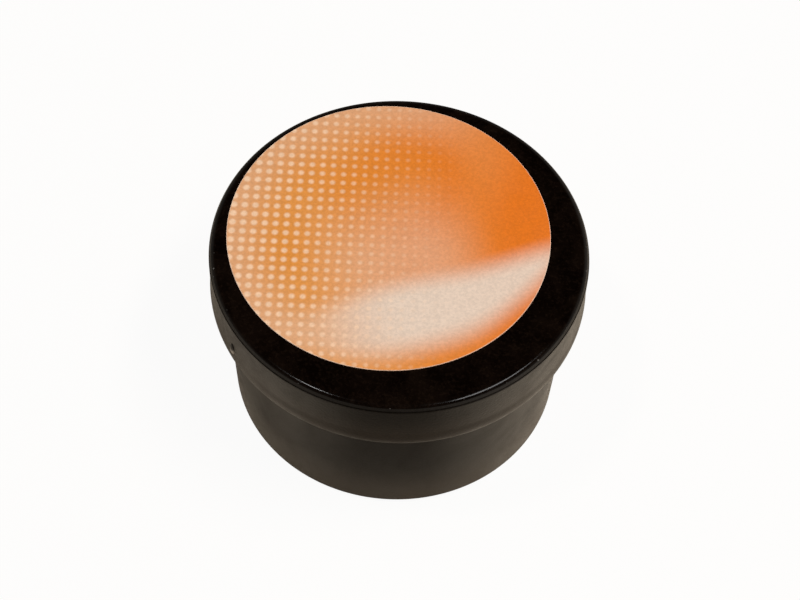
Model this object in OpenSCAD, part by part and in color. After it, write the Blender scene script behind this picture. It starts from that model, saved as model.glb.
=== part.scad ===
// A squat round jar of grease, closed with a wide screw lid.
// The jar is a moulded cup with a threaded neck. The lid screws down over the neck until the
// loose sealing disc inside it meets the rim. A round label is stuck a little off centre on top.
// Millimetres. The origin is the centre of the base, +Z is up, and the lid is screwed home.

/* [Jar] */
// Diameter of the base, before its edge is rounded
base_d = 41.2; // [34:0.2:60]
// Height from the table to the rim
jar_h = 24.2; // [18:0.1:45]
// Lean of the outer wall, which is wider towards the lid, in degrees
wall_draft = 2.25; // [0:0.25:4]
// Thickness of the floor
floor_t = 1.1; // [0.8:0.1:3]
// Rounding of the base's outer edge
foot_round = 0.8; // [0.3:0.1:1.5]
// Width of the flat ring that the jar stands on
foot_w = 2; // [1:0.1:5]
// Height of that ring, which leaves a recess under the floor
foot_h = 0.5; // [0.2:0.1:1]
// Step from the body in to the neck
shoulder_step = 0.54; // [0.2:0.02:0.6]
// Wall of the neck
neck_wall = 1.3; // [0.8:0.1:2.5]
// Rounding of the rim's two edges
rim_round = 0.35; // [0.1:0.05:0.4]
// Lean of the bore, which is wider towards the rim, in degrees
bore_draft = 1.2; // [0:0.1:2]
// Rounding where the bore meets the floor
bore_round = 1.5; // [0.5:0.1:3]

/* [Lid] */
// Height of the lid
lid_h = 8.2; // [6:0.1:14]
// Thickness of the top
lid_top = 1.3; // [0.8:0.1:2]
// Wall of the skirt
lid_wall = 1.2; // [1:0.1:2]
// Rounding of the top's edge
lid_round = 1; // [0.4:0.05:1.2]
// How far the skirt's lower edge curves in
skirt_round = 0.8; // [0.2:0.05:0.9]
// Height over which it does so
lip_h = 1.6; // [0.5:0.1:2]
// How far the lip above that curve stands out from the skirt
lip_swell = 0.12; // [0:0.02:0.3]
// Height over which the skirt swells out to the lip
lip_rise = 1.3; // [0.5:0.1:2]
// Lead-in chamfer inside the skirt
skirt_lead = 0.2; // [0.1:0.05:0.3]
// Least flat left on the skirt's lower edge between that rounding and that chamfer
skirt_land = 0.1; // [0.05:0.05:0.3]
// How far the skirt hangs below the jar's shoulder
skirt_lap = 0.5; // [0.2:0.1:1]
// Width of the fine groove in the rounding of the top's edge
groove_w = 0.24; // [0.1:0.02:0.3]
// Depth of that groove
groove_depth = 0.12; // [0.05:0.01:0.2]
// How far up the rounding the groove is, in degrees from the skirt
groove_angle = 24; // [20:1:60]

/* [Thread] */
// Number of starts
thread_starts = 2; // [1:1:3]
// Distance from one ridge to the next
thread_pitch = 2.5; // [2.2:0.1:4]
// Height of a ridge
thread_h = 0.8; // [0.5:0.05:1.2]
// Width of a ridge where it leaves the wall
thread_root = 1.4; // [1:0.1:1.6]
// Width of a ridge at its crest
thread_crest = 0.5; // [0.3:0.05:0.6]
// Room between a crest and the wall that it faces
crest_play = 0.2; // [0.1:0.05:0.5]
// Room between the flanks that bear on each other
flank_play = 0.2; // [0.1:0.05:0.3]
// Length of wall left bare past each end of a ridge
thread_end = 0.15; // [0.05:0.05:0.3]
// How far a ridge is rooted in its wall
thread_sink = 0.4; // [0.2:0.05:0.6]
// Turn over which a ridge rises from the wall at each end, in degrees
thread_runout = 22; // [8:1:30]

/* [Liner] */
// Thickness of the sealing disc
liner_t = 0.9; // [0.5:0.1:1.5]
// Room between the disc and the lid's wall
liner_gap = 0.3; // [0.1:0.05:0.5]
// Chamfer on the disc's edges
liner_chamfer = 0.1; // [0.05:0.01:0.2]

/* [Grease] */
// Air left between the grease and the rim
headspace = 5.4; // [4.5:0.1:10]
// Fall from the middle of the grease to the wall
grease_crown = 0.3; // [0.1:0.1:0.8]
// Film of air between the grease and the bore
grease_gap = 0.05; // [0.02:0.01:0.1]

/* [Label] */
// Bare border round the label, if it were centred on the flat of the lid
label_border = 2.28; // [1:0.02:6]
// How far off centre the label sits, as a share of that border
label_offset = 0.99; // [0:0.01:1]
// Direction in which the label is off centre, in degrees from +X towards +Y
label_angle = 126; // [0:1:359]
// Thickness of the label
label_t = 0.1; // [0.05:0.01:0.2]

/* [Hidden] */
$fn = 128;
// Angle between the points of a rounded edge, and between the rings of a ridge
arc_step = 15;
ring_step = 5;

// Heights, from the table up
floor_z = foot_h + floor_t;
liner_z = jar_h;
plate_z = liner_z + liner_t;
lid_z = plate_z + lid_top;
skirt_z = lid_z - lid_h;
shoulder_z = skirt_z + skirt_lap;
grease_z = jar_h - headspace;

// Radii, from the jar's body out to the lid
base_r = base_d / 2;
shoulder_r = base_r + shoulder_z * tan(wall_draft);
neck_r = shoulder_r - shoulder_step;
mouth_r = neck_r - neck_wall;
bore_r = mouth_r - (jar_h - rim_round - floor_z) * tan(bore_draft);
lid_in_r = neck_r + thread_h + crest_play;
lid_r = lid_in_r + lid_wall;
lip_r = lid_r + lip_swell;
foot_r = base_r - foot_round - foot_w;
skirt_edge = min(skirt_round, lip_r - lid_in_r - skirt_lead - skirt_land);
liner_r = lid_in_r - liner_gap;

// Centre [r, z] of the rounding of the lid's top edge, half the angle that the groove takes up on
// it, and the label inside it
edge = [lid_r - lid_round, lid_z - lid_round];
groove_half = asin(groove_w / 2 / lid_round);
label_r = edge.x - label_border;
label_shift = label_offset * label_border;

// The thread. At any radius the two ridges' half widths add up to flank_w, so the lid's ridge
// runs mesh_drop below the jar's ridge that it pulls against.
thread_lead = thread_pitch * thread_starts;
thread_rise = jar_h - shoulder_z - rim_round - 2 * thread_end - thread_root;
flank_slope = (thread_root - thread_crest) / 2 / thread_h;
flank_w = thread_root - flank_slope * (lid_in_r - neck_r);
mesh_drop = flank_w + flank_play;
jar_thread_z = shoulder_z + thread_end + thread_root / 2;
lid_thread_z = skirt_z + skirt_lead + thread_end + thread_root / 2;
lid_thread_turn = 360 * (lid_thread_z + mesh_drop - jar_thread_z) / thread_lead;

// Points [r, z] of an arc about [r, z] = middle
function arc(middle, radius, from, to) =
    let (steps = max(1, round(abs(to - from) / arc_step)))
    [for (i = [0:steps])
        let (a = from + (to - from) * i / steps)
        middle + radius * [cos(a), sin(a)]];

// Rounded corner between a level floor and a wall that leans outwards from [r, z] = foot
function leaning_corner(foot, radius, lean) =
    arc(foot + radius * [-(1 - sin(lean)) / cos(lean), 1], radius, -90, -lean);

function reversed(points) = [for (i = [len(points) - 1:-1:0]) points[i]];

// Cross-section of a ridge: its four points [r, z] for a crest that stands depth out from the wall.
// outward is 1 for a ridge outside a wall and -1 for one inside it.
function ridge_section(wall_r, outward, z, depth) =
    let (
        root_half = thread_root / 2 + flank_slope * thread_sink,
        crest_half = thread_root / 2 - flank_slope * depth,
        root = wall_r - outward * thread_sink,
        crest = wall_r + outward * depth,
        near_half = outward > 0 ? root_half : crest_half,
        far_half = outward > 0 ? crest_half : root_half,
        near = min(root, crest),
        far = max(root, crest)
    )
    [[near, z - near_half], [far, z - far_half], [far, z + far_half], [near, z + near_half]];

// One helical ridge that starts on the X axis with its middle at height z
module ridge(wall_r, outward, z) {
    turn = 360 * thread_rise / thread_lead;
    rings = ceil(turn / ring_step);
    buried = thread_sink / 2;
    points = [for (i = [0:rings])
        let (
            a = turn * i / rings,
            ramp = (thread_h + buried) * min(a, turn - a) / thread_runout,
            depth = min(thread_h, ramp - buried)
        )
        for (p = ridge_section(wall_r, outward, z + thread_rise * i / rings, depth))
            [p.x * cos(a), p.x * sin(a), p.y]];
    sides = [for (i = [0:rings - 1], j = [0:3])
        let (a = 4 * i + j, b = 4 * i + (j + 1) % 4)
        each [[a, b, b + 4], [a, b + 4, a + 4]]];
    last = 4 * rings;
    ends = [[3, 2, 1], [3, 1, 0], [last, last + 1, last + 2], [last, last + 2, last + 3]];
    polyhedron(points, concat(sides, ends));
}

module thread(wall_r, outward, z, turned) {
    for (i = [0:thread_starts - 1])
        rotate(turned + 360 * i / thread_starts)
            ridge(wall_r, outward, z);
}

module jar() {
    color("#211d19")
    union() {
        rotate_extrude()
            polygon(concat(
                [[0, foot_h], [foot_r - foot_h, foot_h], [foot_r, 0]],
                leaning_corner([base_r, 0], foot_round, wall_draft),
                [[shoulder_r, shoulder_z], [neck_r, shoulder_z]],
                arc([neck_r - rim_round, jar_h - rim_round], rim_round, 0, 90),
                arc([mouth_r + rim_round, jar_h - rim_round], rim_round, 90, 180),
                reversed(leaning_corner([bore_r, floor_z], bore_round, bore_draft)),
                [[0, floor_z]]));
        thread(neck_r, 1, jar_thread_z, 0);
    }
}

module lid() {
    color("#15110e")
    union() {
        rotate_extrude()
            polygon(concat(
                [[0, plate_z], [lid_in_r, plate_z], [lid_in_r, skirt_z + skirt_lead]],
                [[lid_in_r + skirt_lead, skirt_z]],
                [for (p = arc([0, 0], 1, -90, 0))
                    [lip_r - skirt_edge * (1 - p.x), skirt_z + lip_h * (1 + p.y)]],
                [[lid_r, skirt_z + lip_h + lip_rise]],
                arc(edge, lid_round, 0, groove_angle - groove_half),
                [edge + (lid_round - groove_depth) * [cos(groove_angle), sin(groove_angle)]],
                arc(edge, lid_round, groove_angle + groove_half, 90),
                [[0, lid_z]]));
        thread(lid_in_r, -1, lid_thread_z, lid_thread_turn);
    }
}

// Loose disc that seals the rim. The lid's thread keeps it from falling out.
module lid_liner() {
    color("#e9e6dc")
    rotate_extrude()
        polygon([
            [0, liner_z],
            [liner_r - liner_chamfer, liner_z],
            [liner_r, liner_z + liner_chamfer],
            [liner_r, plate_z - liner_chamfer],
            [liner_r - liner_chamfer, plate_z],
            [0, plate_z]]);
}

module grease() {
    wall_z = grease_z - grease_crown;
    wall_r = mouth_r - (jar_h - rim_round - wall_z) * tan(bore_draft) - grease_gap;
    color("#2b2c2e")
    rotate_extrude()
        polygon(concat(
            [[0, floor_z]],
            leaning_corner([bore_r - grease_gap, floor_z], bore_round, bore_draft),
            [[wall_r, wall_z], [0, grease_z]]));
}

module lid_label() {
    color("#e08a41")
    translate([label_shift * cos(label_angle), label_shift * sin(label_angle), lid_z])
        cylinder(r = label_r, h = label_t);
}

jar();
lid();
lid_liner();
grease();
lid_label();
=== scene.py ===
import math

import bmesh
import bpy
from mathutils import Matrix, Vector, noise


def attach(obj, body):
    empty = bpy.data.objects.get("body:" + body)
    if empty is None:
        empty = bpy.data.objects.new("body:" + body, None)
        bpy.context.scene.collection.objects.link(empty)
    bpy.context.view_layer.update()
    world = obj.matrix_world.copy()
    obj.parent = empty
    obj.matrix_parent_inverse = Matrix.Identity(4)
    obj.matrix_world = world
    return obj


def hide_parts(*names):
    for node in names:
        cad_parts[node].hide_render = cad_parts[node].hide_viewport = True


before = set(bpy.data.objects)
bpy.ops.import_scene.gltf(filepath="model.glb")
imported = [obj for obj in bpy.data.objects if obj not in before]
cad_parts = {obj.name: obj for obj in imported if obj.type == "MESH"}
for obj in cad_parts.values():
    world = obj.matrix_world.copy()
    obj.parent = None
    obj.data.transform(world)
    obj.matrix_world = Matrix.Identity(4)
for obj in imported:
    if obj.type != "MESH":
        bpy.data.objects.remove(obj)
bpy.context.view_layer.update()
mm = 0.001
weld = 0.001 * mm  # points closer than this are one point
roundSteps = {"fewest": 3, "most": 10, "perMm": 10}  # finer on wider roundings
print("frame loaded:", len(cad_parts), "nodes")


# profiles are drawn in the XZ plane as (radius, height, rounding) in millimetres
def drawProfile(name, corners):
    bpy.ops.object.select_all(action="DESELECT")
    bpy.ops.mesh.primitive_plane_add(size=mm)
    piece = bpy.context.object
    piece.name = piece.data.name = name
    bpy.ops.object.mode_set(mode="EDIT")
    bpy.ops.mesh.select_mode(type="VERT")
    bpy.ops.mesh.select_all(action="SELECT")
    bpy.ops.mesh.merge(type="CENTER")
    places = [onProfile(corner) for corner in corners]
    bpy.ops.transform.translate(value=places[0])
    for before, after in zip(places, places[1:]):
        bpy.ops.mesh.extrude_region_move(TRANSFORM_OT_translate={"value": after - before})
    for corner, place in zip(corners, places):
        if len(corner) > 2:
            selectPoints(piece, lambda p: (p - place).length < weld)
            steps = round(corner[2] * roundSteps["perMm"])
            steps = max(roundSteps["fewest"], min(roundSteps["most"], steps))
            bpy.ops.mesh.bevel(offset=corner[2] * mm, segments=steps, affect="VERTICES")
    return piece


def onProfile(corner):
    return Vector((corner[0] * mm, 0, corner[1] * mm))


def selectPoints(piece, wanted):
    mesh = bmesh.from_edit_mesh(piece.data)
    for vert in mesh.verts:
        vert.select_set(wanted(vert.co))
    mesh.select_flush_mode()
    bmesh.update_edit_mesh(piece.data)


# cuts one straight stretch of a profile into even steps
def divideStretch(piece, start, end, cuts):
    ends = [onProfile(start), onProfile(end)]
    selectPoints(piece, lambda p: min((p - e).length for e in ends) < weld)
    bpy.ops.mesh.subdivide(number_cuts=cuts)


# points along an arc of a profile, which may be wider than it is tall
def arcPoints(middle, reach, start, end, steps):
    turns = [math.radians(start + (end - start) * k / steps) for k in range(steps + 1)]
    return [(middle[0] + reach[0] * math.cos(a), middle[1] + reach[1] * math.sin(a)) for a in turns]


def spinProfile(piece, steps):
    bpy.ops.mesh.select_all(action="SELECT")
    bpy.ops.mesh.spin(steps=steps, angle=2 * math.pi, center=(0, 0, 0), axis=(0, 0, 1),
                      use_auto_merge=True)
    bpy.ops.mesh.select_all(action="SELECT")
    bpy.ops.mesh.remove_doubles(threshold=weld)
    bpy.ops.mesh.normals_make_consistent(inside=False)
    bpy.ops.object.mode_set(mode="OBJECT")


def smoothPiece(piece, degrees=38):
    bpy.ops.object.select_all(action="DESELECT")
    piece.select_set(True)
    bpy.context.view_layer.objects.active = piece
    bpy.ops.object.shade_smooth_by_angle(angle=math.radians(degrees))


def placePiece(piece, body, node):
    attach(piece, body)
    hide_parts(node)
    print("made", piece.name, len(piece.data.polygons), "faces")


# the two-start screw thread on the neck and inside the lid
thread = {"starts": 2, "rise": 3.45, "turn": 248.4, "height": 0.8, "root": 1.4, "crest": 0.5,
          "runout": 22, "buried": 0.2, "soften": 0.8}


def ridgeHeight(angle, z, lowZ, turned):
    flank = (thread["root"] - thread["crest"]) / 2
    tallest = 0
    for start in range(thread["starts"]):
        along = (angle - turned - 360 * start / thread["starts"]) % 360
        if along > thread["turn"]:
            continue
        ramp = min(along, thread["turn"] - along) / thread["runout"]
        depth = min(thread["height"], (thread["height"] + thread["buried"]) * ramp - thread["buried"])
        off = abs(z - lowZ - thread["rise"] * along / thread["turn"])
        climb = (thread["root"] / 2 - off) / flank
        if depth <= 0 or climb <= 0:
            continue
        climb = min(climb * thread["height"] / depth, 1)
        eased = climb * climb * (3 - 2 * climb)
        tallest = max(tallest, depth * (climb + (eased - climb) * thread["soften"]))
    return tallest


# lifts the ridges out of a wall that has been cut into fine rows
def raiseThread(piece, wallR, lowZ, turned, outward):
    for vert in piece.data.vertices:
        flat = Vector((vert.co.x, vert.co.y, 0))
        if abs(flat.length - wallR * mm) > 2 * weld:
            continue
        angle = math.degrees(math.atan2(flat.y, flat.x))
        lift = ridgeHeight(angle, vert.co.z / mm, lowZ, turned)
        vert.co += flat.normalized() * (lift * outward * mm)


# node helpers
def feed(tree, socket, value):
    if isinstance(value, bpy.types.NodeSocket):
        tree.links.new(value, socket)
    else:
        socket.default_value = value


def addNode(tree, kind, inputs=None, **settings):
    node = tree.nodes.new("ShaderNode" + kind)
    for key, value in settings.items():
        setattr(node, key, value)
    for key, value in (inputs or {}).items():
        feed(tree, node.inputs[key], value)
    return node


def calc(tree, operation, *values):
    node = addNode(tree, "Math", operation=operation)
    for socket, value in zip(node.inputs, values):
        feed(tree, socket, value)
    return node.outputs[0]


def add(tree, first, second):
    return calc(tree, "ADD", first, second)


def take(tree, first, second):
    return calc(tree, "SUBTRACT", first, second)


def times(tree, first, second):
    return calc(tree, "MULTIPLY", first, second)


def remap(tree, value, fromMin, fromMax, toMin=0.0, toMax=1.0, smooth=True):
    node = addNode(tree, "MapRange", {"Value": value, "From Min": fromMin, "From Max": fromMax,
                                      "To Min": toMin, "To Max": toMax})
    node.interpolation_type = "SMOOTHSTEP" if smooth else "LINEAR"
    return node.outputs["Result"]


def blendColour(tree, factor, under, over):
    node = addNode(tree, "Mix", data_type="RGBA")
    for index, value in ((0, factor), (6, under), (7, over)):
        feed(tree, node.inputs[index], value)
    return node.outputs[2]


def splitAxes(tree, place):
    return addNode(tree, "SeparateXYZ", {"Vector": place}).outputs


# how far a point is from the upright axis
def axisDistance(tree, place):
    flat = addNode(tree, "VectorMath", {0: place, 1: (1.0, 1.0, 0.0)}, operation="MULTIPLY").outputs[0]
    return addNode(tree, "VectorMath", {0: flat}, operation="LENGTH").outputs["Value"]


# a colour as it reads on screen, 0 to 255, for sockets that take linear light
def tone(red, green, blue):
    parts = [c / 255 for c in (red, green, blue)]
    return tuple(c / 12.92 if c <= 0.04045 else ((c + 0.055) / 1.055) ** 2.4 for c in parts) + (1.0,)


def newMaterial(name):
    material = bpy.data.materials.new(name)
    material.use_nodes = True
    tree = material.node_tree
    tree.nodes.clear()
    shader = addNode(tree, "BsdfPrincipled")
    addNode(tree, "OutputMaterial", {"Surface": shader.outputs[0]})
    place = addNode(tree, "TexCoord").outputs["Object"]
    return material, tree, shader, place


def finishShader(tree, shader, colour, roughness, bump):
    feed(tree, shader.inputs["Base Color"], colour)
    feed(tree, shader.inputs["Roughness"], roughness)
    feed(tree, shader.inputs["Normal"], bump.outputs[0])


# every shared effect takes a Vector and some values, and puts out masks or heights
def newGroup(name, values, outputs):
    tree = bpy.data.node_groups.new(name, "ShaderNodeTree")
    tree.interface.new_socket(name="Vector", in_out="INPUT", socket_type="NodeSocketVector")
    for socket in values:
        tree.interface.new_socket(name=socket, in_out="INPUT", socket_type="NodeSocketFloat")
    for socket in outputs:
        tree.interface.new_socket(name=socket, in_out="OUTPUT", socket_type="NodeSocketFloat")
    given = tree.nodes.new("NodeGroupInput")
    result = tree.nodes.new("NodeGroupOutput")
    return tree, given.outputs, result.inputs


def useGroup(tree, group, inputs):
    node = tree.nodes.new("ShaderNodeGroup")
    node.node_tree = group
    for key, value in inputs.items():
        feed(tree, node.inputs[key], value)
    return node.outputs


# what the shared effects keep alike in every material
effectLook = {"patchRange": (0.35, 0.68), "speckCore": 0.5, "tornRange": (0.5, 0.72)}


# fine spark-eroded mould texture, with broad soft patches of handling
def makeMouldGrain():
    tree, given, result = newGroup("mouldGrain", ("Grain", "Patch"), ("Height", "Patches"))
    fine = addNode(tree, "TexNoise", {"Vector": given["Vector"], "Scale": given["Grain"],
                                      "Detail": 3.0, "Roughness": 0.65})
    broad = addNode(tree, "TexNoise", {"Vector": given["Vector"], "Scale": given["Patch"],
                                       "Detail": 4.0, "Roughness": 0.55, "Distortion": 0.6})
    feed(tree, result["Height"], fine.outputs[0])
    feed(tree, result["Patches"], remap(tree, broad.outputs[0], *effectLook["patchRange"]))
    return tree


# sparse pale specks of dust
def makeDustSpecks():
    tree, given, result = newGroup("dustSpecks", ("Cells", "Size", "Amount"), ("Mask",))
    cells = addNode(tree, "TexVoronoi", {"Vector": given["Vector"], "Scale": given["Cells"]})
    pick = addNode(tree, "SeparateColor", {"Color": cells.outputs["Color"]})
    kept = calc(tree, "LESS_THAN", pick.outputs[0], given["Amount"])
    core = times(tree, given["Size"], effectLook["speckCore"])
    speck = remap(tree, cells.outputs["Distance"], core, given["Size"], 1.0, 0.0)
    feed(tree, result["Mask"], times(tree, speck, kept))
    return tree


# nearness to a level edge, and rubbed marks along it
def makeEdgeRub():
    tree, given, result = newGroup("edgeRub", ("Edge Height", "Reach", "Scale"), ("Mask", "Near"))
    height = splitAxes(tree, given["Vector"])["Z"]
    off = calc(tree, "ABSOLUTE", take(tree, height, given["Edge Height"]))
    near = remap(tree, off, 0.0, given["Reach"], 1.0, 0.0)
    torn = addNode(tree, "TexNoise", {"Vector": given["Vector"], "Scale": given["Scale"],
                                      "Detail": 6.0, "Roughness": 0.7})
    marks = remap(tree, torn.outputs[0], *effectLook["tornRange"])
    feed(tree, result["Mask"], times(tree, near, marks))
    feed(tree, result["Near"], near)
    return tree


mouldGrain = makeMouldGrain()
dustSpecks = makeDustSpecks()
edgeRub = makeEdgeRub()
print("shared effects ready")

# black moulded plastic in the finishes that the jar and the lid have
plasticWear = {"fleckFrom": 0.45, "fleckTo": 0.75, "fleckShare": 0.6, "patchShare": 0.4, "rubScale": 900.0,
               "paintedLightThin": 0.75, "paintedLightEdge": 0.4, "dustRough": 0.3, "ior": 1.5}


def blackPlastic(name, look):
    w = plasticWear
    material, tree, shader, place = newMaterial(name)
    grain = useGroup(tree, mouldGrain, {"Vector": place, "Grain": look["grain"], "Patch": look["patch"]})
    rub = useGroup(tree, edgeRub, {"Vector": place, "Edge Height": look["edge"] * mm,
                                   "Reach": look["reach"] * mm, "Scale": w["rubScale"]})
    amount = remap(tree, rub["Near"], 0.0, 1.0, look["dustAmount"], look["edgeDust"], smooth=False)
    dust = useGroup(tree, dustSpecks, {"Vector": place, "Cells": look["dustCells"],
                                       "Size": look["dustSize"], "Amount": amount})["Mask"]
    # painted light, low on the outside: lighter below a given height, standing in for light from the floor,
    # thinner in patches
    paintedLight = remap(tree, splitAxes(tree, place)["Z"], look["paintedLightTo"] * mm, look["paintedLightFrom"] * mm)
    paintedLight = times(tree, paintedLight, remap(tree, grain["Patches"], 0.0, 1.0, w["paintedLightThin"], 1.0))
    inner = (look["paintedLightR"] - w["paintedLightEdge"]) * mm
    paintedLight = times(tree, paintedLight, remap(tree, axisDistance(tree, place), inner, look["paintedLightR"] * mm))
    fleck = remap(tree, grain["Height"], w["fleckFrom"], w["fleckTo"], 0.0, w["fleckShare"])
    wear = add(tree, fleck, times(tree, grain["Patches"], w["patchShare"]))
    colour = blendColour(tree, wear, look["colour"], look["worn"])
    colour = blendColour(tree, paintedLight, colour, look["paintedLightColour"])
    colour = blendColour(tree, times(tree, rub["Mask"], look["rubbed"]), colour, look["rubColour"])
    colour = blendColour(tree, times(tree, dust, look["dusty"]), colour, look["dustColour"])
    rough = remap(tree, grain["Patches"], 0.0, 1.0, look["roughness"] - look["spread"],
                  look["roughness"] + look["spread"], smooth=False)
    rough = add(tree, rough, times(tree, dust, w["dustRough"]))
    bump = addNode(tree, "Bump", {"Height": grain["Height"], "Strength": 1.0,
                                  "Distance": look["depth"] * mm})
    finishShader(tree, shader, colour, rough, bump)
    shader.inputs["IOR"].default_value = w["ior"]
    shader.inputs["Specular IOR Level"].default_value = look["specular"]
    return material


# the jar: a moulded cup with a threaded neck
jarCup = {"baseR": 20.6, "footR": 17.8, "footH": 0.5, "footSlope": 0.5, "footFlat": 0.95,
          "footRound": 0.8, "footEdge": 0.1, "recessRound": 0.12, "ringR": 9,
          "wallR": 20.64, "wallZ": 1.0, "shoulderR": 21.335, "shoulderZ": 18.7, "shoulderRound": 0.12,
          "brimTall": 0.3, "brimTaper": 0.012, "neckR": 20.795, "rimZ": 24.2, "rimRound": 0.35,
          "threadFrom": 18.8, "threadTo": 23.8, "threadMid": 19.55, "threadRows": 110,
          "mouthR": 19.495, "mouthTall": 0.5, "mouthTaper": 0.01, "boreR": 19.029, "boreTaper": 0.03,
          "floorZ": 1.6, "floorRound": 1.5, "floorEdge": 1.7, "steps": 240}
# the dish under the base, with the stub where the plastic was fed in
baseGate = {"stubR": 0.5, "stubZ": 0.32, "stubRootR": 0.62, "stubRound": 0.08,
            "dishR": 1.7, "dishZ": 0.78, "dishRimR": 2.1, "dishRound": 0.1}


def makeJar():
    s, g = jarCup, baseGate
    gate = [(0, g["stubZ"]), (g["stubR"], g["stubZ"], g["stubRound"]),
            (g["stubRootR"], g["dishZ"], g["stubRound"]), (g["dishR"], g["dishZ"], g["dishRound"]),
            (g["dishRimR"], s["footH"], g["dishRound"])]
    foot = [(s["ringR"], s["footH"]), (s["footR"] - s["footSlope"], s["footH"], s["recessRound"]),
            (s["footR"], 0, s["footEdge"]), (s["baseR"] - s["footFlat"], 0), (s["baseR"], 0, s["footRound"])]
    wall = [(s["wallR"], s["wallZ"]), (s["shoulderR"] - s["brimTaper"], s["shoulderZ"] - s["brimTall"]),
            (s["shoulderR"], s["shoulderZ"], s["shoulderRound"])]
    threaded = [(s["neckR"], s["threadFrom"]), (s["neckR"], s["threadTo"])]
    neck = [(s["neckR"], s["shoulderZ"]), *threaded, (s["neckR"], s["rimZ"], s["rimRound"])]
    bore = [(s["mouthR"], s["rimZ"], s["rimRound"]),
            (s["mouthR"] - s["mouthTaper"], s["rimZ"] - s["mouthTall"]),
            (s["boreR"] + s["boreTaper"], s["floorZ"] + s["floorEdge"]),
            (s["boreR"], s["floorZ"], s["floorRound"]), (s["boreR"] - s["floorEdge"], s["floorZ"]),
            (s["ringR"], s["floorZ"]), (0, s["floorZ"])]
    jar = drawProfile("jarCup", gate + foot + wall + neck + bore)
    divideStretch(jar, *threaded, s["threadRows"])
    spinProfile(jar, s["steps"])
    raiseThread(jar, s["neckR"], s["threadMid"], 0, 1)
    smoothPiece(jar)
    return jar


# on the jar, painted light grows lighter down towards the foot, standing in for light from the floor
jarFinish = {"colour": (0.0040, 0.0022, 0.0009, 1), "worn": (0.0055, 0.0031, 0.0014, 1),
             "paintedLightColour": (0.048, 0.038, 0.029, 1), "paintedLightFrom": 0.0, "paintedLightTo": 10.5, "paintedLightR": 20.4,
             "rubColour": (0.07, 0.06, 0.05, 1), "dustColour": (0.35, 0.33, 0.3, 1),
             "grain": 3600.0, "patch": 140.0, "depth": 0.012, "roughness": 0.4, "spread": 0.05,
             "dustCells": 1400.0, "dustSize": 0.12, "dustAmount": 0.01, "edgeDust": 0.06, "dusty": 0.25,
             "edge": 0.5, "reach": 1.2, "rubbed": 0.35, "specular": 0.28}
jar = makeJar()
jar.data.materials.append(blackPlastic("jarPlastic", jarFinish))
placePiece(jar, "jar", "jar")

# the lid: glossy top, a fine groove in its rounded edge, a satin skirt and a thread inside
screwLid = {"plateZ": 25.1, "plateRingR": 8, "plateEdge": 0.4, "plateRound": 0.2,
            "topZ": 26.4, "topRings": (12, 5), "topEdge": 0.15, "topRound": 1.0, "glossDown": 0.3,
            "skirtZ": 18.2, "inR": 21.795, "outR": 22.995, "mouthBevel": 0.2, "mouthRounds": (0.04, 0.06),
            "grooveW": 0.2, "grooveDepth": 0.1, "grooveAt": 20.5, "edgeSteps": (4, 1, 16),
            "lipDeep": 0.8, "lipTall": 1.6, "lipSwell": 0.12, "lipRise": 1.3, "lipSteps": 10, "riseSteps": 8,
            "threadFrom": 18.45, "threadTo": 24.6, "threadMid": 19.25, "threadTurned": 53.1,
            "threadRows": 130, "steps": 240}
gateMark = {"angle": 212.7, "z": 21.4, "width": 0.9, "height": 2.1, "stand": 0.28, "segments": 28}


def makeLid():
    s = screwLid
    threaded = [(s["inR"], s["threadTo"]), (s["inR"], s["threadFrom"])]
    inside = [(0, s["plateZ"]), (s["plateRingR"], s["plateZ"]), (s["inR"] - s["plateEdge"], s["plateZ"]),
              (s["inR"], s["plateZ"], s["plateRound"]), *threaded,
              (s["inR"], s["skirtZ"] + s["mouthBevel"], s["mouthRounds"][0]),
              (s["inR"] + s["mouthBevel"], s["skirtZ"], s["mouthRounds"][1])]
    lip = arcPoints((s["outR"] + s["lipSwell"] - s["lipDeep"], s["skirtZ"] + s["lipTall"]),
                    (s["lipDeep"], s["lipTall"]), -90, 0, s["lipSteps"])
    skirt = []
    for k in range(1, s["riseSteps"] + 1):
        part = k / s["riseSteps"]
        skirt.append((s["outR"] + s["lipSwell"] * (1 + math.cos(math.pi * part)) / 2,
                      s["skirtZ"] + s["lipTall"] + s["lipRise"] * part))
    top = [(s["outR"] - s["topRound"] - s["topEdge"], s["topZ"])]
    top += [(ring, s["topZ"]) for ring in (*s["topRings"], 0)]
    lid = drawProfile("screwLid", inside + lip + skirt + lidEdge() + top)
    divideStretch(lid, *threaded, s["threadRows"])
    spinProfile(lid, s["steps"])
    raiseThread(lid, s["inR"], s["threadMid"], s["threadTurned"], -1)
    return lid


# the rounding from the skirt to the top, cut by the groove
def lidEdge():
    s = screwLid
    middle = (s["outR"] - s["topRound"], s["topZ"] - s["topRound"])
    half = math.degrees(math.asin(s["grooveW"] / 2 / s["topRound"]))
    low, high = s["grooveAt"] - half, s["grooveAt"] + half
    outer = (s["topRound"],) * 2
    cut = (s["topRound"] - s["grooveDepth"],) * 2
    below, across, above = s["edgeSteps"]
    return (arcPoints(middle, outer, 0, low, below) + arcPoints(middle, cut, low, high, across)
            + arcPoints(middle, outer, high, 90, above))


# the trimmed stub where the plastic was fed in, its lower half painted pale as a painted highlight
def addGateMark(lid, finish):
    g = gateMark
    bpy.ops.object.select_all(action="DESELECT")
    bpy.ops.mesh.primitive_uv_sphere_add(segments=g["segments"], ring_count=g["segments"] // 2, radius=mm)
    stub = bpy.context.object
    bpy.ops.object.mode_set(mode="EDIT")
    bpy.ops.mesh.select_all(action="SELECT")
    bpy.ops.transform.resize(value=(g["stand"], g["width"] / 2, g["height"] / 2))
    bpy.ops.transform.translate(value=(screwLid["outR"] * mm, 0, g["z"] * mm))
    bpy.ops.object.mode_set(mode="OBJECT")
    stub.data.materials.append(finish)
    stub.data.transform(Matrix.Rotation(math.radians(g["angle"]), 4, "Z"))
    lid.select_set(True)
    bpy.context.view_layer.objects.active = lid
    bpy.ops.object.join()


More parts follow.
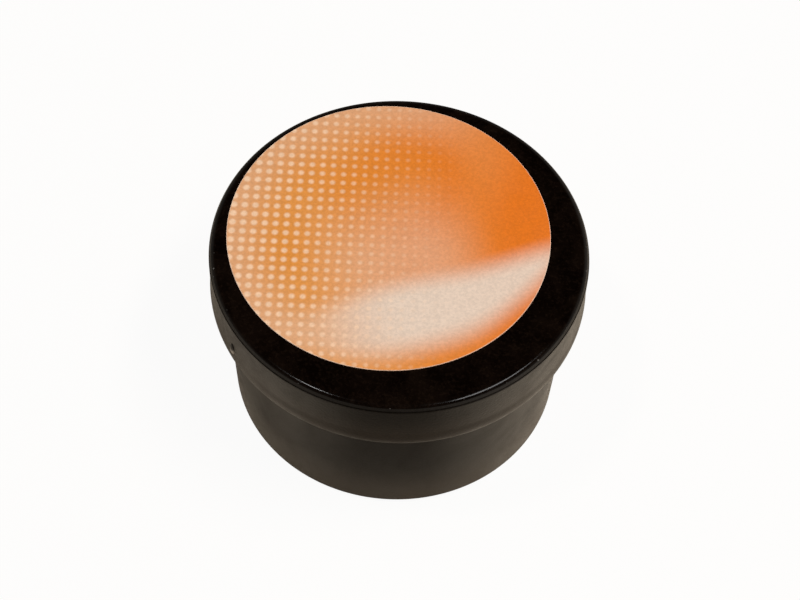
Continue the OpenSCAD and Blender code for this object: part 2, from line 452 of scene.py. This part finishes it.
# the gloss begins part of the way down the top edge's rounding
def paintTop(lid, finish):
    lid.data.materials.append(finish)
    slot = len(lid.data.materials) - 1
    glossZ = screwLid["topZ"] - screwLid["glossDown"] * screwLid["topRound"]
    for face in lid.data.polygons:
        if face.center.z > glossZ * mm:
            face.material_index = slot


# on the top, painted light makes the lower part of the edge's rounding a little lighter
topFinish = {"colour": (0.0014, 0.0005, 0.0002, 1), "worn": (0.0085, 0.0046, 0.0028, 1),
             "paintedLightColour": (0.004, 0.003, 0.0022, 1), "paintedLightFrom": 25.9, "paintedLightTo": 26.3, "paintedLightR": 22.4,
             "rubColour": (0.02, 0.018, 0.016, 1), "dustColour": (0.4, 0.38, 0.35, 1),
             "grain": 2600.0, "patch": 240.0, "depth": 0.002, "roughness": 0.14, "spread": 0.03,
             "dustCells": 1400.0, "dustSize": 0.2, "dustAmount": 0.008, "edgeDust": 0.8, "dusty": 0.25,
             "edge": 26.1, "reach": 0.28, "rubbed": 0.15, "specular": 0.08}
# on the skirt, painted light grows lighter down towards the lip; it is darker up under the top edge
skirtFinish = dict(topFinish, colour=(0.0040, 0.0022, 0.0009, 1), worn=(0.0055, 0.0031, 0.0014, 1),
                   paintedLightColour=(0.025, 0.0180, 0.0125, 1), paintedLightFrom=19.5, paintedLightTo=25.0,
                   rubColour=(0.05, 0.043, 0.036, 1), grain=2800.0, depth=0.036, roughness=0.38, spread=0.06,
                   dustSize=0.16, edgeDust=0.25, edge=18.9, reach=0.8, rubbed=0.3, specular=0.3)
# the stub's finish paints its lower half pale: a painted highlight
stubHighlightFinish = dict(skirtFinish, paintedLightColour=(0.34, 0.31, 0.28, 1), paintedLightFrom=21.1, paintedLightTo=21.8)
lid = makeLid()
lid.data.materials.append(blackPlastic("lidSkirtSatin", skirtFinish))
addGateMark(lid, blackPlastic("lidGateStubHighlight", stubHighlightFinish))
smoothPiece(lid)
paintTop(lid, blackPlastic("lidTopGloss", topFinish))
placePiece(lid, "lid", "lid")

# the loose sealing disc, with the ring that the jar's rim has pressed into it
sealDisc = {"lowZ": 24.2, "highZ": 25.1, "edgeR": 21.495, "chamfer": 0.1, "rings": (8, 16), "rimIn": 19.7,
            "rimOut": 20.6, "pressed": 0.07, "slope": 0.15, "slopeRound": 0.08, "steps": 192}


def makeSeal():
    s = sealDisc
    deep = s["lowZ"] + s["pressed"]
    under = [(ring, s["lowZ"]) for ring in (0, *s["rings"])]
    pressed = [(s["rimIn"] - s["slope"], s["lowZ"]), (s["rimIn"] + s["slope"], deep),
               (s["rimOut"] - s["slope"], deep), (s["rimOut"] + s["slope"], s["lowZ"])]
    pressed = [(r, z, s["slopeRound"]) for r, z in pressed]
    edge = [(s["edgeR"], s["lowZ"], s["chamfer"]), (s["edgeR"], s["highZ"], s["chamfer"])]
    upper = [(ring, s["highZ"]) for ring in (*reversed(s["rings"]), 0)]
    seal = drawProfile("sealDisc", under + pressed + edge + upper)
    spinProfile(seal, s["steps"])
    smoothPiece(seal)
    return seal


foamLook = {"pale": (0.78, 0.76, 0.70, 1), "dull": (0.72, 0.70, 0.64, 1), "grain": 2400.0, "patch": 160.0,
            "pores": 2800.0, "grainShare": 0.4, "bump": 0.6, "depth": 0.03,
            "ringR": 20.15, "ringNear": 0.2, "ringFar": 0.9, "ringColour": (0.16, 0.16, 0.16, 1),
            "ringAmount": 0.55, "rough": 0.72, "ringRough": 0.45}


# foamed plastic, with a greasy ring where it meets the rim
def foamFinish():
    f = foamLook
    material, tree, shader, place = newMaterial("foamedPlastic")
    grain = useGroup(tree, mouldGrain, {"Vector": place, "Grain": f["grain"], "Patch": f["patch"]})
    pores = addNode(tree, "TexVoronoi", {"Vector": place, "Scale": f["pores"]})
    off = calc(tree, "ABSOLUTE", take(tree, axisDistance(tree, place), f["ringR"] * mm))
    ring = remap(tree, off, f["ringNear"] * mm, f["ringFar"] * mm, 1.0, 0.0)
    ring = times(tree, ring, grain["Patches"])
    colour = blendColour(tree, grain["Patches"], f["pale"], f["dull"])
    colour = blendColour(tree, times(tree, ring, f["ringAmount"]), colour, f["ringColour"])
    height = add(tree, times(tree, grain["Height"], f["grainShare"]), pores.outputs["Distance"])
    bump = addNode(tree, "Bump", {"Height": height, "Strength": f["bump"], "Distance": f["depth"] * mm})
    finishShader(tree, shader, colour, remap(tree, ring, 0.0, 1.0, f["rough"], f["ringRough"]), bump)
    return material


seal = makeSeal()
seal.data.materials.append(foamFinish())
placePiece(seal, "liner", "lid_liner")

# the grease, with the swirl that the filling nozzle leaves
greaseFill = {"floorZ": 1.6, "floorRound": 1.5, "floorR": 18.979, "ringR": 8, "wallR": 19.333, "wallZ": 18.5,
              "surfaceFrom": 18.48, "crownZ": 18.62, "rows": 66, "steps": 240, "smooth": 60}
swirl = {"pitch": 5.2, "swell": 0.42, "sharp": 0.7, "level": 0.75, "sink": 0.1, "wander": 0.9,
         "wanderScale": 0.16, "wanderSeed": 3.0, "middleR": 3, "wallFade": 1.6,
         "lumps": 0.16, "lumpScale": 0.35, "lumpSeed": 9.0, "lumpFade": 0.8,
         "tip": 0.5, "tipX": 0.5, "tipY": -0.3, "tipSpread": 1.6}


def makeGrease():
    s = greaseFill
    surface = [(s["wallR"], s["wallZ"]), (0, s["crownZ"])]
    corners = [(0, s["floorZ"]), (s["ringR"], s["floorZ"]), (s["floorR"], s["floorZ"], s["floorRound"])]
    grease = drawProfile("greaseFill", corners + surface)
    divideStretch(grease, *surface, s["rows"])
    spinProfile(grease, s["steps"])
    for vert in grease.data.vertices:
        if vert.co.z > s["surfaceFrom"] * mm:
            vert.co.z += swirlLift(vert.co / mm) * mm
    smoothPiece(grease, s["smooth"])
    return grease


# height of the coiled rope of grease, with soft lumps and a drawn-up tip
def swirlLift(point):
    w = swirl
    out = math.hypot(point.x, point.y)
    turn = math.atan2(point.y, point.x) / (2 * math.pi)
    toWall = greaseFill["wallR"] - out
    wander = noise.noise(Vector((point.x, point.y, w["wanderSeed"])) * w["wanderScale"]) * w["wander"]
    coil = ((out + wander) / w["pitch"] - turn) % 1
    rope = math.sin(math.pi * coil) ** w["sharp"] - w["level"]
    fade = min(1, out / w["middleR"]) * min(1, toWall / w["wallFade"])
    lumps = noise.noise(Vector((point.x, point.y, w["lumpSeed"])) * w["lumpScale"]) * w["lumps"]
    away = (point.x - w["tipX"]) ** 2 + (point.y - w["tipY"]) ** 2
    tip = w["tip"] * math.exp(-away / w["tipSpread"])
    return (w["swell"] * rope - w["sink"]) * fade + lumps * min(1, toWall / w["lumpFade"]) + tip


greaseLook = {"dark": (0.014, 0.015, 0.017, 1), "grey": (0.022, 0.023, 0.026, 1), "grain": 1500.0,
              "patch": 260.0, "bump": 0.5, "depth": 0.04, "smooth": 0.22, "rough": 0.32,
              "flakes": 7000.0, "flakeShare": 0.1, "flakeColour": (0.12, 0.125, 0.13, 1),
              "flakeAmount": 0.4, "flakeMetal": 0.7, "coat": 0.8, "coatRough": 0.14}


# wet dark grease with glinting flakes
def greaseFinish():
    f = greaseLook
    material, tree, shader, place = newMaterial("graphiteGrease")
    grain = useGroup(tree, mouldGrain, {"Vector": place, "Grain": f["grain"], "Patch": f["patch"]})
    flakes = addNode(tree, "TexVoronoi", {"Vector": place, "Scale": f["flakes"]})
    glint = addNode(tree, "SeparateColor", {"Color": flakes.outputs["Color"]}).outputs[0]
    shine = remap(tree, glint, 1.0 - f["flakeShare"], 1.0)
    colour = blendColour(tree, grain["Patches"], f["dark"], f["grey"])
    colour = blendColour(tree, times(tree, shine, f["flakeAmount"]), colour, f["flakeColour"])
    bump = addNode(tree, "Bump", {"Height": grain["Height"], "Strength": f["bump"],
                                  "Distance": f["depth"] * mm})
    finishShader(tree, shader, colour, remap(tree, grain["Patches"], 0.0, 1.0, f["smooth"], f["rough"]), bump)
    feed(tree, shader.inputs["Metallic"], times(tree, shine, f["flakeMetal"]))
    shader.inputs["Coat Weight"].default_value = f["coat"]
    shader.inputs["Coat Roughness"].default_value = f["coatRough"]
    return material


grease = makeGrease()
grease.data.materials.append(greaseFinish())
placePiece(grease, "jar", "grease")

# the round label, stuck off centre
roundLabel = {"x": -1.36, "y": 1.87, "radius": 19.62, "lowZ": 26.4, "highZ": 26.5, "edge": 0.03,
              "rim": 0.2, "ringR": 10, "middleR": 4, "steps": 240}


def makeLabel():
    s = roundLabel
    corners = [(0, s["lowZ"]), (s["ringR"], s["lowZ"]), (s["radius"], s["lowZ"]),
               (s["radius"], s["highZ"], s["edge"]), (s["radius"] - s["rim"], s["highZ"]),
               (s["ringR"], s["highZ"]), (s["middleR"], s["highZ"]), (0, s["highZ"])]
    label = drawProfile("roundLabel", corners)
    spinProfile(label, s["steps"])
    bpy.ops.object.mode_set(mode="EDIT")
    bpy.ops.mesh.select_all(action="SELECT")
    bpy.ops.transform.translate(value=(s["x"] * mm, s["y"] * mm, 0))
    bpy.ops.object.mode_set(mode="OBJECT")
    smoothPiece(label)
    return label


# its plain screened print, in millimetres from the label's centre
labelPrint = {"orange": tone(221, 140, 54), "deepOrange": tone(225, 114, 24), "deepen": (-16.0, 20.0),
              "deepenLean": 0.2, "cloudScale": 0.07, "cloudDrift": 7.0, "cloudy": (0.4, 0.75),
              "cloudAmount": 0.35, "cloudColour": tone(224, 160, 96),
              "rimColour": tone(220, 170, 132), "rimOut": (12.0, 20.5), "rimSide": (9.0, -7.0),
              "rimLean": 0.45, "rimAmount": 0.75,
              "grain": 3000.0, "patch": 220.0, "grainRange": (0.3, 0.7), "speckle": (0.92, 1.08),
              "bump": 0.2, "depth": 0.01, "smooth": 0.42, "rough": 0.5, "specular": 0.25,
              "paper": tone(228, 208, 190), "paperFrom": 0.1, "paperTo": 0.03, "paperAmount": 0.6}
paleSweep = {"cream": tone(226, 206, 188), "lean": 18.0, "drift": 0.4, "bow": 0.02, "top": (-5.8, -10.2),
             "foot": (-19.2, -14.4), "along": (-19.0, -1.0), "amount": 0.94,
             "glowTop": (9.0, -4.0), "glowFoot": (-20.0, -10.0), "glowReach": (13.0, 3.0), "glowAmount": 0.3}
paleDots = {"colour": tone(244, 207, 173), "pitch": 1.31, "from": -19.0, "to": 11.0, "fadeFrom": -14.0,
            "big": 0.41, "small": 0.18, "soft": 0.18, "amount": 0.8}


# orange ground, deeper to the right, paler round the left and the top
def printGround(tree, x, y, out, cloud, drift):
    p = labelPrint
    across = add(tree, add(tree, x, times(tree, y, p["deepenLean"])), drift)
    colour = blendColour(tree, remap(tree, across, *p["deepen"]), p["orange"], p["deepOrange"])
    clouded = remap(tree, cloud, *p["cloudy"], 0.0, p["cloudAmount"])
    colour = blendColour(tree, clouded, colour, p["cloudColour"])
    aside = add(tree, take(tree, x, times(tree, y, p["rimLean"])), drift)
    side = remap(tree, aside, *p["rimSide"], 0.0, p["rimAmount"])
    return blendColour(tree, times(tree, remap(tree, out, *p["rimOut"]), side), colour, p["rimColour"])


# soft cream sweep, low on the right, and a faint glow above it
def printSweep(tree, x, y, drift, colour):
    p = paleSweep
    lean = math.radians(p["lean"])
    along = add(tree, times(tree, x, math.cos(lean)), times(tree, y, math.sin(lean)))
    above = take(tree, times(tree, y, math.cos(lean)), times(tree, x, math.sin(lean)))
    above = add(tree, above, times(tree, drift, p["drift"]))
    glow = times(tree, remap(tree, above, *p["glowTop"]), remap(tree, above, *p["glowFoot"]))
    reach = remap(tree, calc(tree, "ABSOLUTE", along), *p["glowReach"], 0.0, p["glowAmount"])
    colour = blendColour(tree, times(tree, glow, reach), colour, p["cream"])
    bow = times(tree, times(tree, along, along), p["bow"])
    foot = remap(tree, take(tree, above, bow), *p["foot"])
    sweep = times(tree, remap(tree, above, *p["top"]), foot)
    sweep = times(tree, sweep, remap(tree, along, *p["along"], 0.0, p["amount"]))
    return blendColour(tree, sweep, colour, p["cream"])


# rows of pale dots that shrink towards the middle
def printDots(tree, x, y, colour):
    p = paleDots
    squares = []
    for axis in (x, y):
        step = take(tree, calc(tree, "FRACT", calc(tree, "DIVIDE", axis, p["pitch"])), 0.5)
        off = times(tree, step, p["pitch"])
        squares.append(times(tree, off, off))
    far = calc(tree, "SQRT", add(tree, *squares))
    size = remap(tree, x, p["from"], p["to"], p["big"], p["small"], smooth=False)
    dots = remap(tree, far, take(tree, size, p["soft"]), add(tree, size, p["soft"]), 1.0, 0.0)
    fade = remap(tree, x, p["fadeFrom"], p["to"], p["amount"], 0.0)
    return blendColour(tree, times(tree, dots, fade), colour, p["colour"])


def printFinish():
    s, p = roundLabel, labelPrint
    material, tree, shader, place = newMaterial("screenedPrint")
    local = addNode(tree, "Mapping", {"Vector": place, "Location": (-s["x"], -s["y"], 0.0),
                                      "Scale": (1 / mm,) * 3}).outputs[0]
    axes = splitAxes(tree, local)
    out = axisDistance(tree, local)
    cloud = addNode(tree, "TexNoise", {"Vector": local, "Scale": p["cloudScale"], "Detail": 0.0}).outputs[0]
    drift = times(tree, take(tree, cloud, 0.5), p["cloudDrift"])
    colour = printGround(tree, axes["X"], axes["Y"], out, cloud, drift)
    colour = printSweep(tree, axes["X"], axes["Y"], drift, colour)
    colour = printDots(tree, axes["X"], axes["Y"], colour)
    # the bare paper at the cut edge
    bare = remap(tree, out, s["radius"] - p["paperFrom"], s["radius"] - p["paperTo"], 0.0, p["paperAmount"])
    colour = blendColour(tree, bare, colour, p["paper"])
    grain = useGroup(tree, mouldGrain, {"Vector": place, "Grain": p["grain"], "Patch": p["patch"]})
    speckle = remap(tree, grain["Height"], *p["grainRange"], *p["speckle"])
    colour = addNode(tree, "HueSaturation", {"Value": speckle, "Color": colour}).outputs[0]
    bump = addNode(tree, "Bump", {"Height": grain["Height"], "Strength": p["bump"],
                                  "Distance": p["depth"] * mm})
    finishShader(tree, shader, colour, remap(tree, grain["Patches"], 0.0, 1.0, p["smooth"], p["rough"]), bump)
    shader.inputs["Specular IOR Level"].default_value = p["specular"]
    return material


label = makeLabel()
label.data.materials.append(printFinish())
placePiece(label, "lid", "lid_label")

# camera, placed by a fit to the photograph's outlines
viewPoint = {"aim": (0.335, 0.0, 14.75), "distance": 262.0, "elevation": 56.23, "roll": 2.44,
             "lens": 94.22, "sensor": 36, "near": 0.01}


def makeCamera():
    v = viewPoint
    rise = math.radians(v["elevation"])
    back = Vector((0, -math.cos(rise), math.sin(rise))) * v["distance"]
    turn = Matrix.Rotation(math.pi / 2 - rise, 4, "X") @ Matrix.Rotation(math.radians(v["roll"]), 4, "Z")
    bpy.ops.object.camera_add(location=(Vector(v["aim"]) + back) * mm, rotation=turn.to_euler())
    camera = bpy.context.object
    camera.data.sensor_width = v["sensor"]
    camera.data.lens = v["lens"]
    camera.data.clip_start = v["near"]
    bpy.context.scene.camera = camera


makeCamera()

# white floor, whose reflection shows a painted pool of light on each lamp's side, with painted shade close to
# the jar and behind it, in metres
floorLook = {"size": 3.0, "drop": 0.05 * mm, "colour": (0.86, 0.742, 0.595, 1), "cameraWhite": 0.94,
             "nearLight": 0.66, "frontLight": 0.26, "nearOut": (0.0215, 0.0275),
             "rightLight": 1.56, "rightSide": (0.27, 1.0), "leftLight": 1.02, "leftSide": (-0.25, -0.75),
             "closeShade": 0.8, "closeShadeOut": (0.024, 0.034), "behindShade": 0.7, "behindShadeY": (0.0, -0.018)}
# soft sky, brighter on the right and dark overhead
skyLook = {"front": (0.25, 0.24, 0.22, 1), "right": (1.1, 1.03, 0.93, 1), "left": (0.7, 0.65, 0.58, 1),
           "high": (0.02, 0.02, 0.02, 1), "camera": (0.957, 0.957, 0.952, 1),
           "rightX": (0.1, 0.9), "leftX": (-0.1, -0.9), "highZ": (0.35, 0.8)}
lamps = {"keyRight": {"place": (0.228, -0.066, 0.55), "wide": 0.3, "tall": 0.1, "power": 2.04},
         "fillLeft": {"place": (-0.185, -0.053, 0.568), "wide": 0.08, "tall": 0.06, "power": 0.8}}
lampAim = Vector((0, 0, 0.02))


def poolOfLight(tree):
    f = floorLook
    place = addNode(tree, "TexCoord").outputs["Object"]
    out = axisDistance(tree, place)
    axes = splitAxes(tree, place)
    side = calc(tree, "DIVIDE", axes["X"], out)
    right = remap(tree, side, *f["rightSide"], 0.0, f["rightLight"] - f["frontLight"], smooth=False)
    left = remap(tree, side, *f["leftSide"], 0.0, f["leftLight"] - f["frontLight"], smooth=False)
    # painted shade: the side pools are darker close to the jar and behind it
    sides = times(tree, add(tree, right, left), remap(tree, out, *f["closeShadeOut"], f["closeShade"], 1.0))
    sides = times(tree, sides, remap(tree, axes["Y"], *f["behindShadeY"], f["behindShade"], 1.0))
    # painted light: the floor's reflection is brighter near the jar's foot
    return add(tree, remap(tree, out, *f["nearOut"], f["nearLight"], f["frontLight"]), sides)


def makeFloor():
    f = floorLook
    bpy.ops.object.select_all(action="DESELECT")
    bpy.ops.mesh.primitive_plane_add(size=f["size"], location=(0, 0, -f["drop"]))
    floor = bpy.context.object
    floor.name = "studioFloor"
    material = bpy.data.materials.new("whiteFloor")
    material.use_nodes = True
    tree = material.node_tree
    tree.nodes.clear()
    ray = addNode(tree, "LightPath").outputs
    pool = addNode(tree, "VectorMath", {0: f["colour"][:3], 1: poolOfLight(tree)}, operation="MULTIPLY")
    colour = blendColour(tree, ray["Is Glossy Ray"], f["colour"], pool.outputs[0])
    plain = addNode(tree, "BsdfDiffuse", {"Color": colour})
    white = addNode(tree, "Emission", {"Color": (1, 1, 1, 1), "Strength": 1.0})
    seen = times(tree, ray["Is Camera Ray"], f["cameraWhite"])
    mixed = addNode(tree, "MixShader", {0: seen, 1: plain.outputs[0], 2: white.outputs[0]})
    addNode(tree, "OutputMaterial", {"Surface": mixed.outputs[0]})
    floor.data.materials.append(material)


def makeSky():
    k = skyLook
    world = bpy.data.worlds.new("studioSky")
    bpy.context.scene.world = world
    world.use_nodes = True
    tree = world.node_tree
    tree.nodes.clear()
    ray = addNode(tree, "LightPath").outputs
    toward = splitAxes(tree, addNode(tree, "TexCoord").outputs["Generated"])
    colour = blendColour(tree, remap(tree, toward["X"], *k["rightX"]), k["front"], k["right"])
    colour = blendColour(tree, remap(tree, toward["X"], *k["leftX"]), colour, k["left"])
    colour = blendColour(tree, remap(tree, toward["Z"], *k["highZ"]), colour, k["high"])
    colour = blendColour(tree, ray["Is Camera Ray"], colour, k["camera"])
    sky = addNode(tree, "Background", {"Color": colour, "Strength": 1.0})
    addNode(tree, "OutputWorld", {"Surface": sky.outputs[0]})


def makeLamps():
    for name, lamp in lamps.items():
        place = Vector(lamp["place"])
        turn = (lampAim - place).to_track_quat("-Z", "Y")
        bpy.ops.object.light_add(type="AREA", location=place, rotation=turn.to_euler())
        light = bpy.context.object
        light.name = name
        light.data.shape = "ELLIPSE"
        light.data.size = lamp["wide"]
        light.data.size_y = lamp["tall"]
        light.data.energy = lamp["power"]
        light.visible_camera = False


makeFloor()
makeSky()
makeLamps()
bpy.context.scene.view_settings.view_transform = "Standard"
print("studio ready")
